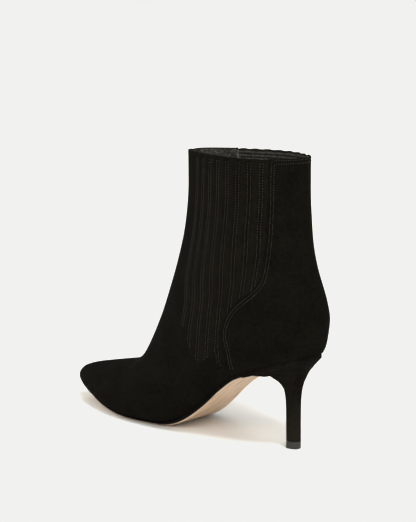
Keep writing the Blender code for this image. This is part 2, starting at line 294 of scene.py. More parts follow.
@dataclass(frozen=True)
class Suede(Finish):
    """Split calf buffed to a short nap: no gloss, soft light patches where the nap is brushed."""

    name: str = "suede_black"
    base: str = "#090806"
    tint: str = "#161510"
    roughness: Pair = (0.95, 0.95)
    gloss: float = 0.02
    relief: float = 0.5
    relief_mm: float = 0.25
    fuzz: str = "#4a4640"
    sheen: float = 0.02
    sheen_roughness: float = 0.45
    patches: Grain = Grain(14.0, roughness=0.55)
    patch_range: Pair = (0.35, 0.7)
    patch_tint: float = 0.26
    mottle: Grain = Grain(2.4, detail=3.0, roughness=0.6)
    mottle_range: Pair = (0.3, 0.7)
    mottle_tint: float = 0.42
    fibres: Grain = Grain(0.55, roughness=0.7)  # real nap is finer; as coarse as it needs to show
    fibre_height: float = 0.5  # against the mottle's

    def dress(self, tree: Nodes, place: Socket) -> Inputs:
        """Return what the shader is given, with the sheen of the nap."""
        return {**super().dress(tree, place), "Sheen Weight": self.sheen,
                "Sheen Roughness": self.sheen_roughness, "Sheen Tint": linear(self.fuzz)}

    def pattern(self, tree: Nodes, place: Socket) -> tuple[Socket, Socket]:
        """Mix brushed and unbrushed nap by patches and mottle, and add the nap attribute, which
        holds painted highlights on the raised work and painted bounce light on the heel.
        """
        # the nap attribute holds painted highlights and painted floor-bounce light, as well as the
        # heel's brushed streaks
        nap = add_node(tree, "Attribute", attribute_name="nap").outputs["Fac"]
        patches, mottle, fibres = (noise(tree, place, grain)
                                   for grain in (self.patches, self.mottle, self.fibres))
        broad = stretch(tree, patches, *self.patch_range, end=self.patch_tint)
        fine = stretch(tree, mottle, *self.mottle_range, end=self.mottle_tint)
        share = weigh(tree, weigh(tree, broad, 1.0, fine), 1.0, nap, clamp=True)
        return share, weigh(tree, fibres, self.fibre_height, mottle)


@dataclass(frozen=True)
class SoleLeather(Finish):
    """Vegetable-tanned sole leather, sanded and waxed: warm tan, fine grain, a low satin gloss."""

    name: str = "sole_leather_tan"
    base: str = "#d4bca4"
    tint: str = "#bc9b7b"
    roughness: Pair = (0.42, 0.62)
    gloss: float = 0.3
    relief: float = 0.25
    relief_mm: float = 0.1
    scuff: str = "#8f735b"
    pores: Grain = Grain(0.9, detail=4.0, roughness=0.65)
    pore_tint: float = 0.3
    stains: Grain = Grain(22.0)
    stain_tint: float = 0.5
    streaks: Grain = Grain(2.6, detail=3.0)  # across the streaks
    streak_tint: float = 1.6
    streak_offset: float = -0.75  # the tint where no streak, stain or pore is
    scuffs: Grain = Grain(3.2)
    scuff_range: Pair = (0.52, 0.7)
    scuff_tint: float = 0.6
    scuff_turn_deg: float = 9.0  # across the boot, from its length

    def drawn(self, tree: Nodes, place: Socket, turn_deg: float = 0.0) -> Socket:
        """Return coordinates that draw a pattern out the way the sole is sanded, turned about Z."""
        turn = (0, 0, math.radians(turn_deg))
        return add_node(tree, "Mapping", {"Vector": place, "Scale": Wave.SANDED.value,
                                          "Rotation": turn}, vector_type="TEXTURE").outputs[0]

    def dress(self, tree: Nodes, place: Socket) -> Inputs:
        """Return what the shader is given, with slanting scuffs over the leather's colour."""
        inputs = super().dress(tree, place)
        scuffs = noise(tree, self.drawn(tree, place, self.scuff_turn_deg), self.scuffs)
        rubbed = stretch(tree, scuffs, *self.scuff_range, end=self.scuff_tint)
        return {**inputs, "Base Color": blend(tree, rubbed, inputs["Base Color"], self.scuff)}

    def pattern(self, tree: Nodes, place: Socket) -> tuple[Socket, Socket]:
        """Draw sanding streaks along the sole, broad tone and pores."""
        streaks = noise(tree, self.drawn(tree, place), self.streaks)
        pores = noise(tree, place, self.pores)
        share = weigh(tree, streaks, self.streak_tint, self.streak_offset)
        share = weigh(tree, noise(tree, place, self.stains), self.stain_tint, share)
        return weigh(tree, pores, self.pore_tint, share, clamp=True), pores


@dataclass(frozen=True)
class EdgeInk(Finish):
    """Wax edge ink ironed onto cut leather: black, smooth, a soft gloss with faint fibre lines."""

    name: str = "edge_ink_black"
    base: str = "#070605"
    tint: str = "#0e0d0b"
    roughness: Pair = (0.45, 0.6)
    gloss: float = 0.05
    relief: float = 0.2
    relief_mm: float = 0.1
    fibres: Grain = Grain(3.0, detail=3.0)

    def pattern(self, tree: Nodes, place: Socket) -> tuple[Socket, Socket]:
        """Draw the layers of the cut leather under the ink."""
        layers = add_node(tree, "Mapping", {"Vector": place, "Scale": Wave.LAYERED.value})
        lines = noise(tree, layers.outputs[0], self.fibres)
        return lines, lines


@dataclass(frozen=True)
class LiningLeather(Finish):
    """Dyed lining leather, plated smooth: dark grey, a satin gloss and a pebbled grain."""

    name: str = "lining_leather_grey"
    base: str = "#191816"
    tint: str = "#52514a"
    roughness: Pair = (0.5, 0.5)
    gloss: float = 0.35
    relief: float = 0.3
    relief_mm: float = 0.08
    sunk: bool = True
    grain_mm: float = 1.1
    flecks: Grain = Grain(1.2, detail=1.0)
    fleck_range: Pair = (0.45, 0.7)

    def pattern(self, tree: Nodes, place: Socket) -> tuple[Socket, Socket]:
        """Draw the pebbled grain and the flecks where its tops are rubbed pale."""
        pebbles = add_node(tree, "TexVoronoi", {"Vector": place, "Scale": per_mm(self.grain_mm)},
                           feature="SMOOTH_F1")
        worn = stretch(tree, noise(tree, place, self.flecks), *self.fleck_range)
        return worn, pebbles.outputs["Distance"]


@dataclass(frozen=True)
class StretchWebbing(Finish):
    """Woven elastic backing: dark, matt, with paler weft rows that run round the boot."""

    name: str = "stretch_webbing_grey"
    base: str = "#121210"
    tint: str = "#4e4d47"
    roughness: Pair = (0.85, 0.85)
    gloss: float = 0.15
    relief: float = 0.6
    relief_mm: float = 0.2
    row_mm: float = 2.6
    yarn: Grain = Grain(1.5, detail=1.0)
    ragged: float = 4.0  # how much the yarn breaks up the rows

    def pattern(self, tree: Nodes, place: Socket) -> tuple[Socket, Socket]:
        """Draw the weft rows by height, broken up by the yarn's unevenness."""
        rise = add_node(tree, "SeparateXYZ", {0: place}).outputs["Z"]
        turn = weigh(tree, rise, 2 * math.pi / (self.row_mm * MM), 0.0)
        row = add_node(tree, "Math", {0: turn}, operation="SINE").outputs[0]
        rows = weigh(tree, noise(tree, place, self.yarn), self.ragged, row)
        share = stretch(tree, rows, 1.0, self.ragged)
        return share, share


@dataclass(frozen=True)
class Thread(Finish):
    """Twisted polyester sewing thread: charcoal, a little lustre."""

    name: str = "thread_charcoal"
    base: str = "#211f1b"
    tint: str = "#47443d"
    roughness: Pair = (0.6, 0.6)
    gloss: float = 0.3
    relief: float = 0.4
    relief_mm: float = 0.05
    twist_mm: float = 0.5
    wave_scale: float = 20.0  # how much finer Blender's wave texture is than its scale says

    def pattern(self, tree: Nodes, place: Socket) -> tuple[Socket, Socket]:
        """Draw the plies of the twist."""
        plies = add_node(tree, "TexWave", {"Vector": place, "Distortion": 2.0, "Detail": 1.0,
                                           "Scale": per_mm(self.twist_mm) / self.wave_scale},
                         bands_direction="DIAGONAL").outputs["Fac"]
        return plies, plies


@dataclass(frozen=True)
class Rubber(Finish):
    """Moulded rubber tip: dark grey, matt, with a fine grit."""

    name: str = "rubber_grey"
    base: str = "#222421"
    tint: str = "#2d2f2b"
    roughness: Pair = (0.6, 0.6)
    gloss: float = 0.35
    relief: float = 0.25
    relief_mm: float = 0.1
    grit: Grain = Grain(0.7, detail=3.0)

    def pattern(self, tree: Nodes, place: Socket) -> tuple[Socket, Socket]:
        """Draw the grit."""
        grit = noise(tree, place, self.grit)
        return grit, grit


@dataclass(frozen=True)
class StudioPaper(Finish):
    """Seamless studio paper: pale, matt, the faintest tooth."""

    name: str = "studio_paper"
    base: str = "#f9f9f7"
    tint: str = "#fafaf8"
    roughness: Pair = (1.0, 1.0)
    gloss: float = 0.0
    tooth: Grain = Grain(3.0)

    def pattern(self, tree: Nodes, place: Socket) -> tuple[Socket, Socket]:
        """Draw the paper's tooth."""
        grain = noise(tree, place, self.tooth)
        return grain, grain


def mapped_grid(points: Array, values: dict[str, Array] | None = None) -> bmesh.types.BMesh:
    """Lay a mesh grid on points and weld the points that coincide.

    Args:
        points: places by row and column.
        values: numbers by row and column that each vertex carries, by attribute name.

    Returns:
        The mesh, its faces pointing outwards.
    """
    rows = points.shape[0] - 1
    columns = points.shape[1] - 1
    mesh = bmesh.new()
    bmesh.ops.create_grid(mesh, x_segments=columns, y_segments=rows, size=0.5)
    layers = {name: mesh.verts.layers.float.new(name) for name in values or {}}
    for vert in mesh.verts:
        column = round((vert.co.x + 0.5) * columns)
        row = round((vert.co.y + 0.5) * rows)
        vert.co = points[row][column]
        for name, layer in layers.items():
            vert[layer] = values[name][row][column]
    bmesh.ops.remove_doubles(mesh, verts=mesh.verts, dist=WELD)
    bmesh.ops.recalc_face_normals(mesh, faces=mesh.faces)
    return mesh


def closed_ring(rows: Array) -> Array:
    """Return rows with their first column repeated at the end."""
    return np.concatenate([rows, rows[:, :1]], axis=1)


def whole_ring(outer: Array, inner: Array) -> Array:
    """Return closed rows that go back along the outer side and forward along the inner one."""
    return closed_ring(np.concatenate([outer, inner[:, -2:0:-1]], axis=1))


def flattened(ring: Array) -> Array:
    """Return a ring folded onto its centre line, which closes a loft's end."""
    return ring * np.array([1, 0, 1])


def mesh_data(name: str, mesh: bmesh.types.BMesh) -> bpy.types.Mesh:
    """Turn a bmesh to mesh data and free it.

    Args:
        name: the data's name.
        mesh: the bmesh.

    Returns:
        The mesh data.
    """
    data = bpy.data.meshes.new(name)
    mesh.to_mesh(data)
    mesh.free()
    return data


def add_object(name: str, data: bpy.types.ID) -> Object:
    """Add an object to the scene.

    Args:
        name: its name.
        data: its mesh, curve, lamp or camera.

    Returns:
        The object.
    """
    made = bpy.data.objects.new(name, data)
    bpy.context.scene.collection.objects.link(made)
    return made


def add_piece(name: str, mesh: bmesh.types.BMesh | bpy.types.Mesh, finishes: Sequence[Finish],
              stands_for: str | None = None) -> Object:
    """Add a finished mesh to the scene and tie it to the CAD frame.

    Args:
        name: the piece's name.
        mesh: its mesh, in place.
        finishes: its finishes, in the order of its faces' material numbers.
        stands_for: the CAD node that it replaces.

    Returns:
        The piece.
    """
    data = mesh if isinstance(mesh, bpy.types.Mesh) else mesh_data(name, mesh)
    for finish in finishes:
        data.materials.append(finish.material())
    data.shade_smooth()
    data.set_sharp_from_angle(angle=math.radians(SHARP_DEG))
    piece = add_object(name, data)
    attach(piece, BODY)
    if stands_for is not None:
        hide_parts(stands_for)
    LOG.info("%s: %d faces", name, len(data.polygons))
    return piece


@dataclass(frozen=True)
class SoleLine:
    """The line of the sole's underside: seat, arch, flat tread and toe spring."""

    length: float = 250 * MM
    setback: float = 24.8 * MM  # from the back of the boot to the middle of the heel's tip
    seat_height: float = 74.5 * MM
    edge: float = 3.4 * MM
    toe_spring: float = 12 * MM
    toe_power: float = 1.6
    toe_end: float = 102.6  # percent of the length
    breast: float = 23.0
    stations: tuple[Pair, ...] = (  # percent of the length, percent of the rise
        (3, 100), (9, 93), (14.5, 86), (20, 78), (26.5, 69), (33.4, 52), (39.6, 32), (45.7, 15),
        (50, 6.2), (53.5, 1.9), (57, 0), (68.5, 0))

    def along(self, percent: Array | float) -> Array:
        """Return X at a percentage of the length."""
        return np.asarray(percent, float) * self.length / 100 - self.setback

    def breast_x(self) -> float:
        """Return X at the heel's breast."""
        return float(self.along(self.breast))

    def bottom(self, x: Array) -> Array:
        """Find the height of the underside.

        Args:
            x: places along the boot.

        Returns:
            The heights there.
        """
        x = np.asarray(x, float)
        knots = self.along([place for place, _ in self.stations])
        rises = [rise / 100 * (self.seat_height - self.edge) for _, rise in self.stations]
        run = self.along(self.toe_end) - knots[-1]
        spring = np.clip((x - knots[-1]) / run, 0, None) ** self.toe_power * self.toe_spring
        return monotone_curve(knots, rises, np.minimum(x, knots[-1])) + spring

    def top(self, x: Array) -> Array:
        """Return the height of the line where the sole meets the upper at x."""
        return self.bottom(x) + self.edge


@dataclass(frozen=True)
class Section:
    """A level of the upper, as part.py has it.

    Front and back are percent of the length, rises percent of the way up to the collar, arch the
    share of the sole's curve that it follows. Sway and the six widths are percent of half the ball
    width.
    """

    front: float
    front_rise: float
    back: float
    back_rise: float
    arch: float
    sway: float
    widths: tuple[float, ...]


SECTIONS = (
    Section(102.6, 0, 1.4, 0, 1.0, 6, (55, 75, 88, 52, 100, 130)),
    Section(104.9, 1.7, 0.4, 4, 1.0, 5.5, (69, 88, 100, 82, 114, 141)),
    Section(104.2, 4.1, -0.1, 9.5, 0.95, 5, (68, 92, 103, 95, 125, 149)),
    Section(100.7, 6.6, -0.5, 15.6, 0.85, 4.5, (65, 90, 101, 103, 127, 152)),
    Section(91.4, 9.7, -0.3, 21, 0.7, 4, (63, 84, 96, 106, 125, 149)),
    Section(81.6, 12.3, 0.4, 26, 0.55, 3, (64, 83, 92, 104, 119, 142)),
    Section(74.4, 15, 1.3, 31.3, 0.42, 2, (67, 84, 90, 102, 114, 131)),
    Section(71, 19.4, 2.5, 36.8, 0.3, 1.5, (70, 82, 88, 101, 111, 120)),
    Section(65.3, 31.5, 4.5, 45.8, 0.15, 1, (68, 76, 82, 99, 107, 108)),
    Section(59.4, 48.8, 5.8, 57.4, 0.05, 0.5, (65, 70, 75, 94, 97, 95)),
    Section(54.6, 66.2, 6.6, 71.1, 0, 0, (64, 68, 73, 90, 91, 86)),
    Section(52.2, 84, 7.1, 86.2, 0, 0, (64.5, 69, 74, 90, 90, 83)),
    Section(52.2, 100, 7.1, 99.8, 0, 0, (64.5, 70, 75, 92, 90, 81)),
)


@dataclass(frozen=True)
class SidePanel:
    """The lines of the stretch side panel and of the quarter that lies over its back.

    Levels are percent of the way up, places percent of the way round from toe to back.
    """

    # level, place of the first tuck, spread of all the tucks
    tuck_lines: tuple[tuple[float, float, float], ...] = (
        (0, 58, 14), (6, 57.3, 16), (10, 55.8, 17.6), (14, 53.6, 20.8), (21, 49.1, 25.6),
        (27, 46.4, 27.2), (33, 43.7, 29.4), (40, 41.5, 33.6), (50, 38.9, 38.2), (60, 34, 44.4),
        (74, 31.9, 46.4), (87.6, 31.6, 47.4), (100, 32.5, 46.8))
    # level, place of the quarter's front edge
    quarter_edge: tuple[Pair, ...] = (
        (0, 66.5), (4, 67.9), (10, 67.1), (16, 65.7), (20, 64.6), (24, 63.4), (28, 62), (31, 61.1),
        (34, 60.6), (37.8, 62.1), (39.3, 63.5), (40.7, 66.5), (42, 70.3), (43.7, 72.7), (46.8, 75),
        (54, 76.1), (77, 77), (100, 77.5))

    def tucks(self, level: Array) -> tuple[Array, Array]:
        """Return the first tuck's place and the tucks' spread at a level, as shares round."""
        knots, first, spread = np.array(self.tuck_lines).T / 100
        return monotone_curve(knots, first, level), monotone_curve(knots, spread, level)

    def quarter(self, level: Array) -> Array:
        """Return the place of the quarter's edge at a level, as a share round."""
        knots, place = np.array(self.quarter_edge).T / 100
        return monotone_curve(knots, place, level)


@dataclass
class Spots:
    """Places on the upper: shares round from toe to back, shares up to the collar, and the side."""

    around: Array
    level: Array
    side: Side

    def __post_init__(self) -> None:
        """Give the shares one shape."""
        shares = [np.asarray(share, float) for share in (self.around, self.level)]
        self.around, self.level = np.broadcast_arrays(*shares)

    def moved(self, around: Array | float, level: Array | float = 0.0) -> "Spots":
        """Return the places moved by shares round and up."""
        return Spots(self.around + around, self.level + level, self.side)


@dataclass
class Last:
    """The boot's outer surface, by the share round from toe to back and up to the collar."""

    sole: SoleLine
    sections: tuple[Section, ...] = SECTIONS
    ball_width: float = 75 * MM
    collar_height: float = 221 * MM
    stations: tuple[float, ...] = (0, 0.2, 0.38, 0.6, 0.8, 1)  # where the six widths lie
    flat_rim: float = 0.03  # near its two rims the wall is thickened level
    levels: Array = field(init=False)
    table: Array = field(init=False)

    def __post_init__(self) -> None:
        """Work out the sections' places in metres and their levels by the wall's length."""
        half = self.ball_width / 2 / 100
        front = self.sole.along([s.front for s in self.sections])
        back = self.sole.along([s.back for s in self.sections])
        front_foot = self.sole.top(front[:1])
        back_foot = self.sole.top(back[:1])
        front_rise = np.array([s.front_rise for s in self.sections]) / 100
        back_rise = np.array([s.back_rise for s in self.sections]) / 100
        front_z = front_foot + front_rise * (self.collar_height - front_foot)
        back_z = back_foot + back_rise * (self.collar_height - back_foot)
        walls = ((front, front_z), (back, back_z))
        steps = sum(np.hypot(np.diff(x), np.diff(z)) for x, z in walls)
        girth = np.concatenate([[0], np.cumsum(steps)])
        self.levels = girth / girth[-1]
        shares = np.array([(s.arch, s.sway * half) for s in self.sections])
        widths = np.array([s.widths for s in self.sections]) * half
        self.table = np.column_stack([front, back, front_z, back_z, shares, widths])

    def points(self, at: Spots) -> Array:
        """Find points of the surface.

        Args:
            at: their places on it.

        Returns:
            The points, X, Y and Z last.
        """
        row = np.moveaxis(natural_spline(self.levels, self.table, at.level), -1, 0)
        front, back, front_z, back_z, arch, sway, *widths = row
        toe_x, heel_x, toe_z, heel_z = self.table[0, :4]
        share = (1 - np.cos(math.pi * at.around)) / 2
        foot_x = toe_x + (heel_x - toe_x) * share
        foot_z = toe_z + (heel_z - toe_z) * share
        weights = natural_spline(self.stations, np.eye(len(self.stations)), at.around)
        width = (weights * np.stack(widths, axis=-1)).sum(axis=-1)
        bulge = np.sin(math.pi * at.around)
        x = front + (back - front) * share
        y = at.side * bulge * width + Side.OUTER * sway * bulge ** 2
        z = front_z + (back_z - front_z) * share + arch * (self.sole.top(foot_x) - foot_z)
        return np.stack([x, y, z], axis=-1)

    def slopes(self, at: Spots) -> tuple[Array, Array]:
        """Find how steeply the surface's points move.

        Args:
            at: places on it.

        Returns:
            How they move by a share round, and by a share up.
        """
        run = self.points(at.moved(NUDGE)) - self.points(at.moved(-NUDGE))
        low, high = (np.clip(at.level + step, 0, 1) for step in (-NUDGE, NUDGE))
        under, over = (self.points(Spots(at.around, level, at.side)) for level in (low, high))
        return run / (2 * NUDGE), (over - under) / (high - low)[..., None]

    def normals(self, at: Spots) -> Array:
        """Find the surface's outward normals, level at its two rims.

        Args:
            at: places on it.

        Returns:
            The normals, each of length 1.
        """
        normal = np.cross(*self.slopes(at)) * at.side
        normal[..., 2] *= smooth_step(np.minimum(at.level, 1 - at.level) / self.flat_rim)
        return normal / np.linalg.norm(normal, axis=-1, keepdims=True)

    def foot_share(self, x: float) -> float:
        """Return the share round at which the feather line reaches x."""
        front, back = self.table[0, :2]
        return math.acos(1 - 2 * (front - x) / (front - back)) / math.pi

    def feather(self, shares: Array, inset: Array | float, side: Side) -> Array:
        """Move the feather line inwards, level.

        Args:
            shares: places along it.
            inset: how far.
            side: the side of the boot.

        Returns:
            The moved line's points.
        """
        at = Spots(shares, 0.0, side)
        run = self.points(at.moved(NUDGE)) - self.points(at.moved(-NUDGE))
        inward = np.stack([run[:, 1], -run[:, 0], np.zeros(len(run))], axis=-1) * -side
        inward /= np.linalg.norm(inward, axis=1, keepdims=True)
        return self.points(at) + inward * np.reshape(inset, (-1, 1))


@dataclass(frozen=True)
class Crease:
    """A fold pressed into the suede: its line in the boot's own X and Z, and its section."""

    side: Side
    line_mm: tuple[Pair, ...]
    width_mm: float
    rise_mm: float  # below 0 for a groove
    end_power: float = 0.5  # how late it fades at its two ends

    def height(self, points: Array) -> Array:
        """Find how far the fold lifts its side, fading at its two ends.

        Args:
            points: points of the surface.

        Returns:
            The lift of each.
        """
        line = np.array(self.line_mm) * MM
        flat = points[..., [0, 2]]
        best = np.full(points.shape[:-1], np.inf)
        place = np.zeros(points.shape[:-1])
        spans = len(line) - 1
        for i in range(spans):
            run = line[i + 1] - line[i]
            share = np.clip(((flat - line[i]) @ run) / (run @ run), 0, 1)
            gap = np.linalg.norm(flat - line[i] - share[..., None] * run, axis=-1)
            nearer = gap < best
            best = np.where(nearer, gap, best)
            place = np.where(nearer, (i + share) / spans, place)
        ends = np.sin(math.pi * place) ** self.end_power
        return self.rise_mm * MM * ends * np.exp(-(best / (self.width_mm * MM)) ** 2)


@dataclass
class Skin:
    """The suede's outer face: the last's surface with its tucks, overlay, rim and folds."""

    last: Last
    panel: SidePanel = SidePanel()
    tucks: int = 8
    tuck_height: float = 0.75 * MM
    valley: float = 0.13  # half the flat between two tucks, as a share of their pitch
    tuck_power: float = 2.2  # how square a tuck's section is
    seam_puff: float = 0.12 * MM
    tuck_end: float = 0.37  # the level at which the foremost tuck dies out
    tuck_long: float = 0.5  # the share of the panel behind which the tucks run down to the sole
    tuck_end_curve: float = 1.2
    tuck_fade_run: float = 0.14
    quarter_step: float = 0.8 * MM
    step_run: float = 0.0022  # the shares round over which the quarter's step rises
    hide_run: float = 0.012  # and over which the tucks sink ahead of it
    pucker: float = 0.35 * MM  # how far the rows of stitches pull the rim down
    panel_drop: float = 0.6 * MM  # how much lower the panel's rim is than the suede ahead of it
    rim_run: float = 0.06
    # percent of the way round, millimetres that the rim stands above the collar's level
    rim_rises: tuple[Pair, ...] = (
        (0, 0), (6, 0.5), (30, 0.9), (36, 1.5), (45, 1.5), (70, 0.9), (80, 0.4), (100, 0.7))
    sag: float = 0.12 * MM  # the hand-lasted unevenness of the suede
    sag_mm: tuple[float, float, float] = (41, 57, 33)
    sag_rates: Pair = (8, 12)  # how soon it sets in above the sole, below the rim
    creases: tuple[Crease, ...] = ()

    def panel_share(self, at: Spots) -> Array:
        """Return the place across the tucks: 0 at the first one's front, 1 behind the last."""
        first, spread = self.panel.tucks(at.level)
        return (at.around - first) / spread

    def tuck_ends(self, share: Array) -> Array:
        """Return the level at which the tuck at a share of the panel dies out."""
        return self.tuck_end * (1 - np.clip(share / self.tuck_long, 0, 1) ** self.tuck_end_curve)

    def tuck_strength(self, at: Spots) -> Array:
        """Find how full the tucks are.

        Args:
            at: places on the surface.

        Returns:
            From 0, outside the panel, below the tucks' ends and at the quarter, to 1.
        """
        share = self.panel_share(at)
        gap = self.panel.quarter(at.level) - self.step_run - at.around
        full = smooth_step((at.level - self.tuck_ends(share)) / self.tuck_fade_run)
        return full * smooth_step(gap / self.hide_run) * (share > 0)

    def tuck_shape(self, at: Spots) -> Array:
        """Return the section of the tucks, 0 at a seam and 1 on a tuck."""
        offset = np.abs(np.mod(self.panel_share(at) * self.tucks, 1) - 0.5)
        return 1 - np.clip(offset / (0.5 - self.valley), 0, 1) ** self.tuck_power

    def relief(self, at: Spots) -> tuple[Array, Array]:
        """Find the raised work on the surface.

        Args:
            at: places on the surface.

        Returns:
            The height of the raised work, and the tucks' own shape from 0 to 1.
        """
        strength = self.tuck_strength(at)
        tuck = self.tuck_shape(at) * strength
        offset = np.mod(self.panel_share(at) * self.tucks + 0.5, 1) - 0.5
        puff = np.clip(1 - (offset / self.valley) ** 2, 0, 1) * strength * self.seam_puff
        edge = self.panel.quarter(at.level) - self.step_run
        step = smooth_step((at.around - edge) / self.step_run) * self.quarter_step
        return tuck * self.tuck_height + puff + step, tuck

    def rim_drop(self, at: Spots) -> Array:
        """Find how far the collar lies under its own line, over the panel and at its stitches.

        Args:
            at: places on the surface.

        Returns:
            The way down, which dies out below the rim, with X, Y and Z last.
        """
        drop = self.panel_drop + self.pucker * (1 - self.tuck_shape(at))
        knots, rises = np.array(self.rim_rises).T
        rise = monotone_curve(knots / 100, rises * MM, at.around)
        near = smooth_step((at.level - 1 + self.rim_run) / self.rim_run)
        return UP * ((drop * self.tuck_strength(at) - rise) * near)[..., None]

    def points(self, at: Spots) -> Array:
        """Find points of the suede's face.

        Args:
            at: their places on it.

        Returns:
            The points, X, Y and Z last.
        """
        place = self.last.points(at)
        height = self.relief(at)[0]
        for crease in self.creases:
            if crease.side == at.side:
                height = height + crease.height(place)
        waves = np.sin(place / (np.array(self.sag_mm) * MM) * 2 * math.pi).sum(axis=-1)
        foot = smooth_step(at.level * self.sag_rates[0])
        rim = smooth_step((1 - at.level) * self.sag_rates[1])
        height = height + self.sag * waves / len(self.sag_mm) * foot * rim
        return place + self.last.normals(at) * height[..., None] - self.rim_drop(at)

    def inside(self, at: Spots, depth: Array | float) -> Array:
        """Return points under the surface, that depth inwards from the last."""
        inward = self.last.normals(at) * np.broadcast_to(depth, at.around.shape)[..., None]
        return self.last.points(at) - inward - self.rim_drop(at)

    def beside(self, at: Spots, distance: float) -> Spots:
        """Move a line on the surface sideways.

        Args:
            at: the line's places, from its top down.
            distance: how far, to the back.

        Returns:
            The moved line's places.
        """
        ahead = np.gradient(self.last.points(at), axis=0)
        across = np.cross(self.last.normals(at), ahead) * at.side
        across *= distance / np.linalg.norm(across, axis=-1, keepdims=True)
        step = np.linalg.pinv(np.stack(self.last.slopes(at), axis=-1)) @ across[..., None]
        return at.moved(step[:, 0, 0], step[:, 1, 0])


@dataclass
class Upper:
    """The suede shell: outer face with its raised work, folded rim, inner face and lower rim."""

    skin: Skin
    thickness: float = 1.1 * MM
    fold: float = 0.55 * MM  # the radius of the folded collar edge
    seam: float = 0.15 * MM  # the gap over the sole
    front_columns: int = 84
    back_columns: int = 44
    # the top level and the rows of each band
    row_bands: tuple[tuple[float, int], ...] = ((0.2, 22), (0.36, 42), (0.48, 32), (1.0, 66))
    back_power: float = 1.3  # how much closer the columns lie at the quarter's edge
    middle: float = 0.5  # the share round at which the rim's slope is measured
    inner_step: int = 6  # rows of the outer face for each row inside
    fold_steps: int = 5
    tuck_steps: tuple[float, ...] = (0, 0.07, 0.13, 0.18, 0.26, 0.38, 0.5, 0.62, 0.74, 0.82, 0.87,
                                     0.93)
    step_columns: tuple[float, ...] = (0, 0.3, 0.6, 0.85)  # up the quarter's edge
    crest_highlight: float = 0.3  # painted highlight: how much lighter the suede is painted on a tuck's crest
    fold_highlight: float = 0.7  # painted highlight on a raised fold
    rim_highlight: float = 0.8  # painted highlight along the folded rim

    def levels(self, top: float) -> Array:
        """Space the face's rows, closest where the quarter's edge turns.

        Args:
            top: the level of the last row.

        Returns:
            The rows' levels.
        """
        bands = []
        low = 0.0
        for high, rows in self.row_bands:
            bands.append(np.linspace(low, high, rows, endpoint=False))
            low = high
        return np.append(np.concatenate(bands), 1.0) * top

    def around(self, level: Array) -> Array:
        """Space the columns.

        Args:
            level: the rows' levels.

        Returns:
            The shares round of every column in each row.
        """
        skin = self.skin
        first, spread = (line[:, None] for line in skin.panel.tucks(level))
        quarter = skin.panel.quarter(level)[:, None]
        front = first * np.linspace(0, 1, self.front_columns, endpoint=False)
        shares = [(i + step) / skin.tucks for i in range(skin.tucks) for step in self.tuck_steps]
        edge = quarter - skin.step_run
        tucks = np.minimum(first + spread * np.array(shares), edge)
        step = edge + skin.step_run * np.array(self.step_columns)
        back = quarter + (1 - quarter) * np.linspace(0, 1, self.back_columns + 1) ** self.back_power
        return np.concatenate([front, tucks, step, back], axis=1)

    def wall(self, side: Side) -> tuple[Array, Array]:
        """Lay the wall of one side: up its face, over the fold and down inside.

        Args:
            side: the side of the boot.

        Returns:
            The wall's points and the nap share that each carries, which holds the painted
            highlights.
        """
        rise = self.skin.last.slopes(Spots(self.middle, 1.0, side))[1]
        top = 1 - self.fold / np.linalg.norm(rise)
        level = self.levels(top)
        at = Spots(self.around(level), level[:, None], side)
        face = self.skin.points(at)
        # painted highlight: the nap share paints the suede lighter on the tucks' crests and on
        # raised folds
        nap = self.skin.relief(at)[1] * self.crest_highlight
        for crease in self.skin.creases:
            if crease.side == side and crease.rise_mm > 0:
                nap = nap + crease.height(face) / (crease.rise_mm * MM) * self.fold_highlight
        normal = self.skin.last.normals(Spots(at.around[-1], top, side))
        turns = np.linspace(0, math.pi, self.fold_steps + 2)[1:, None, None]
        fold = face[-1] + normal * self.fold * (np.cos(turns) - 1) + UP * self.fold * np.sin(turns)
        under = np.append(level[::-self.inner_step][1:], 0.0)
        at = Spots(self.around(under), under[:, None], side)
        inner = self.skin.inside(at, self.thickness)
        points = np.concatenate([face, fold, inner, face[:1]])
        bare = np.zeros((len(points) - len(nap) - 1, nap.shape[1]))
        # painted highlight: the folded rim is painted lighter
        bare[:self.fold_steps] = self.rim_highlight
        return points + UP * self.seam, np.concatenate([nap, bare, nap[:1]])

    def build(self) -> Object:
        """Build the shell and return it."""
        (outer, outer_highlight), (inner, inner_highlight) = (self.wall(side) for side in Side)
        # the nap attribute of the upper holds only painted highlights
        mesh = mapped_grid(whole_ring(outer, inner), {"nap": whole_ring(outer_highlight, inner_highlight)})
        return add_piece("upper_suede", mesh, [Suede()], "upper")


class LiningPart(IntEnum):
    """The lining's faces, in the order of its finishes."""

    LEATHER = 0
    WEBBING = 1
    CUT = 2


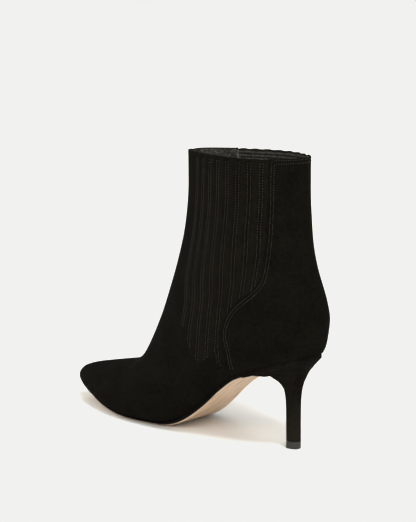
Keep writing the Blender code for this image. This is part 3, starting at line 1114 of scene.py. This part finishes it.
@dataclass
class Lining:
    """The lining inside the shaft: leather front and back, stretch webbing behind the tucks."""

    skin: Skin
    outer_depth: float = 1.15 * MM
    inner_depth: float = 1.75 * MM
    facing: float = 0.35 * MM  # how far the front facing stands in over the webbing
    facing_edge: float = 0.334
    back_edge: float = 0.8
    edge_run: float = 0.008
    edge_steps: tuple[float, ...] = (0, 0.5, 1)  # the columns over each edge
    foot: float = 0.002
    top: float = 0.9965
    rows: int = 70
    columns: int = 90

    def depth(self, around: Array) -> Array:
        """Find how deep the lining's face lies.

        Args:
            around: shares round.

        Returns:
            The depths there.
        """
        front = smooth_step((self.facing_edge - around) / self.edge_run)
        back = smooth_step((around - self.back_edge) / self.edge_run)
        return self.inner_depth + (front + back) * self.facing

    def build(self) -> Object:
        """Build the lining and return it."""
        ways = ((self.facing_edge, -self.edge_run), (self.back_edge, self.edge_run))
        edges = [edge + step * run for edge, run in ways for step in self.edge_steps]
        around = np.sort(np.concatenate([np.linspace(0, 1, self.columns), edges]))
        outside = np.linspace(self.foot, self.top, self.rows)[:, None]
        inside = np.linspace(self.top, self.foot, self.rows)[:, None]
        sides = []
        for side in Side:
            back = self.skin.inside(Spots(around, outside, side), self.outer_depth)
            face = self.skin.inside(Spots(around, inside, side), self.depth(around))
            sides.append(np.concatenate([back, face, back[:1]]))
        share = np.tile(around, (len(sides[0]), 1))
        mesh = mapped_grid(whole_ring(*sides), {"share": whole_ring(share, share)})
        layer = mesh.verts.layers.float["share"]
        for face in mesh.faces:
            share = sum(vert[layer] for vert in face.verts) / len(face.verts)
            if self.facing_edge < share < self.back_edge:
                face.material_index = LiningPart.WEBBING
            elif 0 < self.facing_edge - share < self.edge_run:
                face.material_index = LiningPart.CUT
        cut = LiningLeather("lining_leather_cut", base="#3c3b36", tint="#5c5b54")
        return add_piece("shaft_lining", mesh, [LiningLeather(), StretchWebbing(), cut])


@dataclass
class Seam:
    """A row of stitches: its line on the boot and the way out of the leather."""

    points: Array
    outward: Array


@dataclass
class Stitching:
    """Rows of lockstitch, one short bowed length of thread for each stitch."""

    name: str
    pitch: float = 2.0 * MM
    gap: float = 1.05 * MM
    thread: float = 0.32 * MM
    bow: tuple[float, ...] = (-0.22, 0.1, 0.15, 0.1, -0.22)  # mm out of the leather along a stitch
    taper: tuple[float, ...] = (0.6, 1.0, 1.0, 1.0, 0.6)

    def stitches(self, seam: Seam) -> Iterable[Array]:
        """Yield each stitch's points along a seam."""
        run = np.concatenate([[0], np.cumsum(np.linalg.norm(np.diff(seam.points, axis=0), axis=1))])
        for i in range(int(run[-1] / self.pitch)):
            at = i * self.pitch + np.linspace(0, self.pitch - self.gap, len(self.bow))
            place, way = (np.stack([np.interp(at, run, part[:, k]) for k in range(3)], axis=-1)
                          for part in (seam.points, seam.outward))
            yield place + way * np.array(self.bow)[:, None] * MM

    def build(self, seams: Iterable[Seam]) -> Object:
        """Sew the seams.

        Args:
            seams: the rows to sew.

        Returns:
            The stitches as one piece.
        """
        curve = bpy.data.curves.new(self.name, "CURVE")
        curve.dimensions = "3D"
        curve.bevel_depth = self.thread / 2
        curve.bevel_resolution = 1
        curve.use_fill_caps = True
        for seam in seams:
            for stitch in self.stitches(seam):
                spline = curve.splines.new("POLY")
                spline.points.add(len(stitch) - 1)
                for point, place, radius in zip(spline.points, stitch, self.taper):
                    point.co = (*place, 1)
                    point.radius = radius
        drawn = add_object(self.name + "_line", curve)
        data = bpy.data.meshes.new_from_object(
            drawn.evaluated_get(bpy.context.evaluated_depsgraph_get()))
        bpy.data.objects.remove(drawn)
        bpy.data.curves.remove(curve)
        return add_piece(self.name, data, [Thread()])


@dataclass
class SeamPlan:
    """Where the boot is sewn: along the tucks, round the quarters and on the facing."""

    skin: Skin
    lining: Lining
    samples: int = 260
    top: float = 0.985
    tuck_foot: float = 0.055  # how far above a tuck's end its stitches end, as a level
    tuck_clear: float = 0.003  # how far ahead of the quarter's edge they stop, as a share round
    quarter_rows: tuple[float, ...] = (1.0 * MM, 3.2 * MM)
    quarter_foot: float = 0.03
    corner: int = 9  # samples over which a row turns its corner
    collar_place: float = 0.9  # the share round at which the quarter's slope is measured
    collar_end: float = 0.995  # and at which its rows begin at the back
    collar_samples: int = 65
    facing_row: float = 2.2 * MM
    facing_place: float = 0.3  # the share round at which the facing's slope is measured
    facing_end: float = 0.01  # and at which its row begins at the front
    facing_samples: int = 130
    facing_foot: float = 0.55

    def outside(self, at: Spots) -> Seam:
        """Return a seam on the suede's face."""
        return Seam(self.skin.points(at), self.skin.last.normals(at))

    def tuck_rows(self) -> Iterable[Seam]:
        """Yield the twin rows between the tucks on both sides."""
        panel = self.skin.panel
        for side in Side:
            for row in range(self.skin.tucks):
                for edge in (-1, 1):
                    share = (row + edge * self.skin.valley) / self.skin.tucks
                    low = self.skin.tuck_ends(np.array(share)) + self.tuck_foot
                    level = np.linspace(self.top, low, self.samples)
                    first, spread = panel.tucks(level)
                    around = first + spread * share
                    hidden = np.flatnonzero(around > panel.quarter(level) - self.tuck_clear)
                    end = hidden[0] if len(hidden) else len(level)
                    if end > 1:
                        yield self.outside(Spots(around[:end], level[:end], side))

    def rounded(self, line: Array) -> Array:
        """Round the corners of a line by a moving mean.

        Args:
            line: a value for each sample.

        Returns:
            As many rounded values.
        """
        reach = self.corner // 2
        padded = np.concatenate([np.repeat(line[:1], reach), line, np.repeat(line[-1:], reach)])
        return np.convolve(padded, np.ones(self.corner) / self.corner, mode="valid")

    def turned(self, along: Array, edge: Spots) -> Spots:
        """Lay a row that runs along the collar and turns down an edge, its corner rounded.

        Args:
            along: the shares round of its first part.
            edge: the places of its second part.

        Returns:
            The whole row's places.
        """
        around = np.concatenate([along, edge.around[1:]])
        level = np.concatenate([np.full(len(along), edge.level[0]), edge.level[1:]])
        return Spots(self.rounded(around), self.rounded(level), edge.side)

    def quarter_seams(self) -> Iterable[Seam]:
        """Yield the double rows below the collar and along each quarter's front edge."""
        for side in Side:
            rise = self.skin.last.slopes(Spots(self.collar_place, 1.0, side))[1]
            for distance in self.quarter_rows:
                top = 1 - distance / np.linalg.norm(rise)
                level = np.linspace(top, self.quarter_foot, self.samples)
                front = Spots(self.skin.panel.quarter(level), level, side)
                edge = self.skin.beside(front, distance)
                collar = np.linspace(self.collar_end, edge.around[0], self.collar_samples)
                yield self.outside(self.turned(collar, edge))

    def facing_seams(self) -> Iterable[Seam]:
        """Yield the row along the top of the front facing and down its two back edges."""
        for side in Side:
            slopes = self.skin.last.slopes(Spots(self.facing_place, 1.0, side))
            run, rise = (np.linalg.norm(slope) for slope in slopes)
            top = self.lining.top - self.facing_row / rise
            edge = self.lining.facing_edge - self.facing_row / run
            along = np.linspace(self.facing_end, edge, self.facing_samples)
            down = np.linspace(top, self.facing_foot, self.samples)
            at = self.turned(along, Spots(edge, down, side))
            yield Seam(self.skin.inside(at, self.lining.depth(at.around)),
                       -self.skin.last.normals(at))

    def build(self) -> list[Object]:
        """Sew every seam and return the pieces."""
        return [Stitching("tuck_stitching").build(self.tuck_rows()),
                Stitching("quarter_stitching", pitch=1.8 * MM).build(self.quarter_seams()),
                Stitching("facing_stitching").build(self.facing_seams())]


class SolePart(IntEnum):
    """The outsole's faces, in the order of its finishes."""

    LEATHER = 0
    INKED = 1


@dataclass
class Outsole:
    """The leather outsole from toe to breast: inked edge, chamfered and bare underneath."""

    last: Last
    proud: float = 0.8 * MM
    # the chamfer's depth inwards and its height, under the waist and under the tread
    waist_chamfer: Pair = (1.0 * MM, 1.0 * MM)
    tread_chamfer: Pair = (8.0 * MM, 2.3 * MM)
    chamfer_grows: Pair = (46.0, 60.0)  # percent of the length
    chamfer_run: float = 25 * MM  # over which it dies out ahead of the heel
    ink_share: float = 0.3  # of the chamfer, which the ink covers
    narrow: float = 4.0  # how many of its depths the sole is wide where the chamfer gives way
    edge_steps: tuple[float, ...] = (0, 0.5, 1)  # the corners down the edge
    round_out: float = 0.18 * MM  # how far the edge swells between its corners
    seam: float = 0.15 * MM
    stations: int = 110
    across: int = 14

    def chamfer(self, x: Array, width: Array) -> tuple[Array, Array]:
        """Size the chamfer along the sole.

        Args:
            x: places along the boot.
            width: the sole's width there.

        Returns:
            Its depth inwards and its height.
        """
        begin, end = self.last.sole.along(self.chamfer_grows)
        grown = smooth_step((x - begin) / (end - begin))[:, None]
        waist, tread = (np.array(pair) for pair in (self.waist_chamfer, self.tread_chamfer))
        depth, height = (waist + (tread - waist) * grown).T
        breast = self.last.sole.breast_x() + self.seam
        depth = depth * smooth_step(width / (self.narrow * depth))
        return depth * smooth_step((x - breast) / self.chamfer_run), height

    def half_profile(self, shares: Array, proud: Array, chamfer: tuple[Array, Array],
                     side: Side) -> list[Array]:
        """Lay one side of the sole's cross-sections, from the top edge down to the underside.

        Args:
            shares: places along the feather line.
            proud: how far the edge stands out there.
            chamfer: its depth and height there.
            side: the side of the boot.

        Returns:
            One line of points for each corner of the profile.
        """
        sole = self.last.sole
        depth, height = chamfer
        edge = self.last.feather(shares, -proud, side)
        under = sole.bottom(edge[:, 0])
        lines = []
        for share in self.edge_steps:
            swell = side * self.round_out * math.sin(math.pi * share) * (depth > 0)
            z = under + (sole.edge - self.seam) * (1 - share) + height * share
            lines.append(np.column_stack([edge[:, 0], edge[:, 1] + swell, z]))
        for share in (self.ink_share, 1):
            line = self.last.feather(shares, depth * share - proud, side)
            y = side * np.maximum(side * line[:, 1], 0)
            lines.append(np.column_stack([line[:, 0], y, sole.bottom(line[:, 0])
                                          + height * (1 - share)]))
        return lines

    def build(self) -> Object:
        """Build the outsole and return it."""
        sole = self.last.sole
        breast = sole.breast_x() + self.seam
        tread = float(sole.along(sole.stations[-2][0]))
        shares = np.linspace(0, self.last.foot_share(breast), self.stations)
        x = self.last.points(Spots(shares, 0.0, Side.OUTER))[:, 0]
        proud = self.proud * smooth_step((x - breast) / (tread - breast))
        outer, inner = (self.last.feather(shares, -proud, side) for side in Side)
        chamfer = self.chamfer(x, outer[:, 1] - inner[:, 1])
        left = self.half_profile(shares, proud, chamfer, Side.OUTER)
        right = self.half_profile(shares, proud, chamfer, Side.INNER)[::-1]
        shares = np.linspace(0, 1, self.across)[1:-1]
        middle = [left[-1] + (right[0] - left[-1]) * share for share in shares]
        rings = np.stack([*left, *middle, *right], axis=1)
        inked = np.zeros(rings.shape[1])
        edge = len(left) - 1
        inked[:edge] = 1
        inked[-edge:] = 1
        mesh = mapped_grid(closed_ring(rings),
                           {"ink": closed_ring(np.tile(inked, (self.stations, 1)))})
        ends = bmesh.ops.holes_fill(mesh, edges=[edge for edge in mesh.edges if edge.is_boundary])
        bmesh.ops.recalc_face_normals(mesh, faces=mesh.faces)
        layer = mesh.verts.layers.float["ink"]
        for face in mesh.faces:
            if all(round(vert[layer]) for vert in face.verts):
                face.material_index = SolePart.INKED
        for face in ends["faces"]:
            face.material_index = SolePart.INKED
        return add_piece("outsole_leather", mesh, [SoleLeather(), EdgeInk()],
                         "outsole")


class HeelRing(NamedTuple):
    """A ring of the heel's column, in mm, and the share of the way out to the seat.

    Drop is how far below the sole's line it stays.
    """

    height: float
    front: float
    back: float
    half_width: float
    seat: float
    drop: float


@dataclass
class Heel:
    """The suede-covered heel, a slim D-shaped column that opens out to the seat, and its tip."""

    last: Last
    rings: tuple[HeelRing, ...] = (
        HeelRing(6, 3.2, -5.5, 5.1, 0, 0.3), HeelRing(22, 3.4, -5.3, 5.2, 0, 0.3),
        HeelRing(36, 3.7, -5.3, 5.4, 0, 0.3), HeelRing(45, 4.6, -6, 6.3, 0, 0.3),
        HeelRing(50.5, 6.3, -6.4, 7.7, 0.04, 5.4), HeelRing(54.5, 7.9, -5.7, 9.2, 0.17, 4.8),
        HeelRing(57.5, 9, -4.4, 10.4, 0.31, 4.2), HeelRing(60, 9.8, -2.7, 10.5, 0.48, 2.4),
        HeelRing(62, 10.5, -0.7, 10.6, 0.68, 0.3))
    seat_power: float = 2.7  # how late the flare climbs to the seat
    back_power: float = 2.6  # the powers that round the column's back into a D
    side_power: float = 0.8
    lift_height: float = 6.0 * MM
    seam: float = 0.3 * MM
    lift_round: float = 0.35 * MM
    lift_segments: int = 3
    # the painted floor-bounce light and the nap streaks reach up to this height
    bounce_and_streak_height: float = 62 * MM
    # a paler copy of the suede for the heel: painted bounce light
    suede: Suede = Suede("suede_black_heel_bounce_lit", tint="#1d1b16")
    # painted floor-bounce light: the paler share over the column, and the extra toward its foot
    column_bounce_light: float = 0.35
    foot_bounce_light: float = 0.4
    streak_nap: float = 0.24
    streak_counts: tuple[int, ...] = (13, 29, 41)
    rows: int = 72
    columns: int = 34
    breast_columns: int = 7

    def half(self, curve: Array) -> Array:
        """Begin one side of an outline at the middle of the breast.

        Args:
            curve: the outline from the breast's corner round to its back.

        Returns:
            The points across the breast, then those of the curve.
        """
        breast = np.linspace(0, 1, self.breast_columns, endpoint=False)[:, None] * curve[0]
        breast[:, 0] = curve[0, 0]
        return np.concatenate([breast, curve])

    def column_half(self, ring: HeelRing, side: Side) -> Array:
        """Lay one side of the column.

        Args:
            ring: its sizes there.
            side: the side of the boot.

        Returns:
            Its outline, X and Y last.
        """
        turn = np.cos(np.linspace(0, math.pi / 2, self.columns))
        x = ring.front - (ring.front - ring.back) * np.sqrt(1 - turn ** self.back_power)
        curve = np.stack([x, ring.half_width * turn ** self.side_power], axis=-1) * MM
        return self.half(curve) * np.array([1, side])

    def seat_half(self, side: Side) -> Array:
        """Lay one side of the seat, with as many points as the column has.

        Args:
            side: the side of the boot.

        Returns:
            Its outline, X and Y last.
        """
        begin = self.last.foot_share(self.last.sole.breast_x() - self.seam / 2)
        at = Spots(np.linspace(begin, 1, self.columns), 0.0, side)
        return self.half(self.last.points(at)[:, :2])

    def plan(self, halves: Iterable[Array]) -> Array:
        """Return a closed plan from its two sides."""
        outer, inner = halves
        return whole_ring(outer[None], inner[None])[0]

    def nap(self, rings: Array) -> Array:
        """Paint the column paler toward its foot, a painted floor-bounce light, with streaks of
        brushed nap that run up it.

        Args:
            rings: the cover's points.

        Returns:
            The share of the paler tint at each point: painted bounce light and brushed streaks.
        """
        column = 1 - smooth_step(rings[..., 2] / self.bounce_and_streak_height)
        turn = np.linspace(0, 2 * math.pi, rings.shape[1])
        streaks = sum(np.sin(count * turn + count) for count in self.streak_counts)
        # painted floor-bounce light: paler toward the floor
        share = self.foot_bounce_light * column ** 2 + self.column_bounce_light * column
        return np.clip(share + self.streak_nap * streaks * column, 0, 1)

    def cover(self) -> Object:
        """Build the covered heel and return it."""
        sole = self.last.sole
        seat = self.plan(self.seat_half(side) for side in Side)
        table = np.array(self.rings)
        spots = np.linspace(0, len(table) - 1, self.rows)
        dense = np.stack([monotone_curve(range(len(table)), column, spots)
                          for column in table.T], axis=-1)
        rings = []
        for ring in (HeelRing(*row) for row in dense):
            column = self.plan(self.column_half(ring, side) for side in Side)
            plan = column + (seat - column) * ring.seat
            ceiling = sole.bottom(plan[:, 0]) - ring.drop * MM
            low = ring.height * MM
            level = low + (ceiling - low) * ring.seat ** self.seat_power
            rings.append(np.column_stack([plan, np.minimum(level, ceiling)]))
        rings.append(np.column_stack([seat, sole.bottom(seat[:, 0])]))
        rings.append(np.column_stack([seat, sole.top(seat[:, 0]) - self.seam / 2]))
        rings = np.array([flattened(rings[0]), *rings, flattened(rings[-1])])
        # the nap attribute holds the painted bounce light and the brushed streaks
        mesh = mapped_grid(rings, {"nap": self.nap(rings)})
        return add_piece("heel_cover", mesh, [self.suede], "heel")

    def lift(self) -> Object:
        """Build the rubber tip and return it."""
        plan = self.plan(self.column_half(self.rings[0], side) for side in Side)
        floor = np.column_stack([plan, np.zeros(len(plan))])
        top = floor + UP * (self.lift_height - self.seam)
        mesh = mapped_grid(np.array([flattened(floor), floor, top, flattened(top)]))
        rims = [edge for edge in mesh.edges if edge.calc_face_angle(0) > math.radians(SHARP_DEG)
                and abs(edge.verts[0].co.z - edge.verts[1].co.z) < self.seam]
        bmesh.ops.bevel(mesh, geom=rims, offset=self.lift_round, segments=self.lift_segments,
                        profile=0.5, affect="EDGES", material=-1)
        return add_piece("heel_lift", mesh, [Rubber()], "top_lift")

    def build(self) -> list[Object]:
        """Build the covered heel and its tip and return both."""
        return [self.cover(), self.lift()]


@dataclass
class SockLining:
    """The sock that lies on the insole, with a rounded edge and a slight crown."""

    last: Last
    wall: float = 2.4 * MM
    thickness: float = 2.0 * MM
    seam: float = 0.15 * MM
    crown: float = 0.5 * MM
    crown_power: float = 0.5  # how soon it rises from the edge
    stations: int = 90
    across: int = 16

    def build(self) -> Object:
        """Build the sock and return it."""
        shares = np.linspace(0, 1, self.stations)
        outer, inner = (self.last.feather(shares, self.wall, side) for side in Side)
        under = self.last.sole.top(outer[:, 0]) + self.seam
        spread = (1 - np.cos(np.linspace(0, math.pi, self.across))) / 2
        top = []
        for share in spread:
            line = outer + (inner - outer) * share
            arch = 4 * share * (1 - share)  # 0 at the edges and 1 in the middle
            swell = self.crown * arch ** self.crown_power
            line[:, 2] = under + self.thickness - self.crown + swell
            top.append(line)
        bottom = [np.column_stack([line[:, :2], under]) for line in (inner, outer)]
        rings = np.stack([*top, *bottom], axis=1)
        mesh = mapped_grid(closed_ring(rings))
        return add_piece("sock_lining", mesh, [LiningLeather()], "insole")


@dataclass(frozen=True)
class Lamp:
    """A broad, distant studio lamp."""

    name: str
    shines_from: tuple[float, float, float]
    strength: float  # what it lays on a sheet that faces it, in parts of full white
    spread_deg: float
    colour: str = "#fffcf6"

    def hang(self) -> None:
        """Add the lamp to the scene."""
        data = bpy.data.lights.new(self.name, "SUN")
        data.energy = self.strength * math.pi
        data.color = linear(self.colour)[:3]
        data.angle = math.radians(self.spread_deg)
        turn = Vector(self.shines_from).to_track_quat("Z", "Y")
        add_object(self.name, data).rotation_euler = turn.to_euler()


@dataclass
class Studio:
    """The photograph's camera, the pale floor and soft light."""

    image_px: tuple[int, int] = (416, 522)
    sensor_mm: float = 36.0
    focal_px: float = 1515.97
    aim: tuple[float, float, float] = (95 * MM, 0.0, 110 * MM)
    aim_px: Pair = (202.63, 289.58)
    turn_deg: float = 43.387  # how far behind the outer side the camera stands
    distance: float = 1178.1 * MM  # level, from the aim
    height: float = 332.5 * MM
    floor_half: float = 30.0
    floor_parts: int = 8
    paper: str = "#f1f1ef"
    sky: str = "#ffffff"
    sky_strength: float = 0.075
    lamps: tuple[Lamp, ...] = (
        Lamp("key", (-0.392, 0.196, 0.899), 0.37, 10, "#ffffff"),
        Lamp("camera_side_low", (-0.595, 0.63, 0.5), 0.415, 40),
        Lamp("camera_side_high", (-0.394, 0.417, 0.819), 0.205, 40),
        Lamp("heel_side", (-0.558, -0.133, 0.819), 0.36, 40),
        Lamp("far_side", (0.394, -0.417, 0.819), 0.32, 40),
        Lamp("toe_side_low", (0.816, 0.194, 0.545), 0.28, 40),
        Lamp("outer_side_low", (0.248, 0.83, 0.5), 0.225, 40),
    )

    def camera(self) -> None:
        """Place the camera where the photograph was taken from."""
        turn = math.radians(self.turn_deg)
        ahead = Vector((math.sin(turn), -math.cos(turn), 0))
        right = Vector((-math.cos(turn), -math.sin(turn), 0))
        place = Vector(self.aim) - ahead * self.distance
        place.z = self.height
        pan = math.atan((self.image_px[0] / 2 - self.aim_px[0]) / self.focal_px)
        drop = math.atan((self.height - self.aim[2]) / self.distance)
        tilt = drop - math.atan((self.aim_px[1] - self.image_px[1] / 2) / self.focal_px)
        level = ahead * math.cos(pan) + right * math.sin(pan)
        look = level * math.cos(tilt) - Vector(UP) * math.sin(tilt)
        data = bpy.data.cameras.new("camera")
        data.sensor_width = self.sensor_mm
        data.lens = self.focal_px * self.sensor_mm / max(self.image_px)
        camera = add_object("camera", data)
        camera.location = place
        camera.rotation_euler = look.to_track_quat("-Z", "Y").to_euler()
        bpy.context.scene.camera = camera

    def floor(self) -> None:
        """Lay the paper floor."""
        mesh = bmesh.new()
        bmesh.ops.create_grid(mesh, x_segments=self.floor_parts,
                              y_segments=self.floor_parts, size=self.floor_half)
        data = mesh_data("floor", mesh)
        data.materials.append(StudioPaper().material())
        floor = add_object("floor", data)

    def light(self) -> None:
        """Hang an even sky and the lamps."""
        world = bpy.data.worlds.new("studio")
        world.use_nodes = True
        tree = world.node_tree
        output = tree.nodes["World Output"]
        even = tree.nodes["Background"]
        fill(even, {"Color": linear(self.sky), "Strength": self.sky_strength})
        seen = add_node(tree, "Background", {"Color": linear(self.paper)})
        path = add_node(tree, "LightPath")
        mixed = add_node(tree, "MixShader", {0: path.outputs["Is Camera Ray"], 1: even.outputs[0],
                                             2: seen.outputs[0]})
        tree.links.new(mixed.outputs[0], output.inputs["Surface"])
        bpy.context.scene.world = world
        for lamp in self.lamps:
            lamp.hang()

    def tone(self) -> None:
        """Show light above the paper's own tone as that tone, so that the bright sheet is even."""
        view = bpy.context.scene.view_settings
        view.view_transform = "Standard"
        view.use_curve_mapping = True
        for curve, white in zip(view.curve_mapping.curves, linear(self.paper)[:3]):
            curve.points[1].location = (1.0, white)
            knee = curve.points.new(white, white)
            for point in (curve.points[0], knee, curve.points[-1]):
                point.handle_type = "VECTOR"
        view.curve_mapping.update()

    def build(self) -> None:
        """Build the studio."""
        self.tone()
        self.camera()
        self.floor()
        self.light()


THROAT_FOLD = Crease(Side.OUTER, ((146, 50.8), (149.5, 47.5), (152.2, 43.8), (153.6, 40.4)),
                     width_mm=1.3, rise_mm=0.3)
THROAT_DIP = Crease(Side.OUTER, ((143, 49), (147, 44.5), (149.5, 40)), width_mm=2.2,
                    rise_mm=-0.25)


def main() -> None:
    """Build the boot's pieces around the frame, then the studio."""
    logging.basicConfig(level=logging.INFO)
    last = Last(SoleLine())
    skin = Skin(last, creases=(THROAT_FOLD, THROAT_DIP))
    lining = Lining(skin)
    Studio().build()
    for assembly in (Upper(skin), lining, SeamPlan(skin, lining), Outsole(last), Heel(last),
                     SockLining(last)):
        assembly.build()


if __name__ == "__main__":
    main()
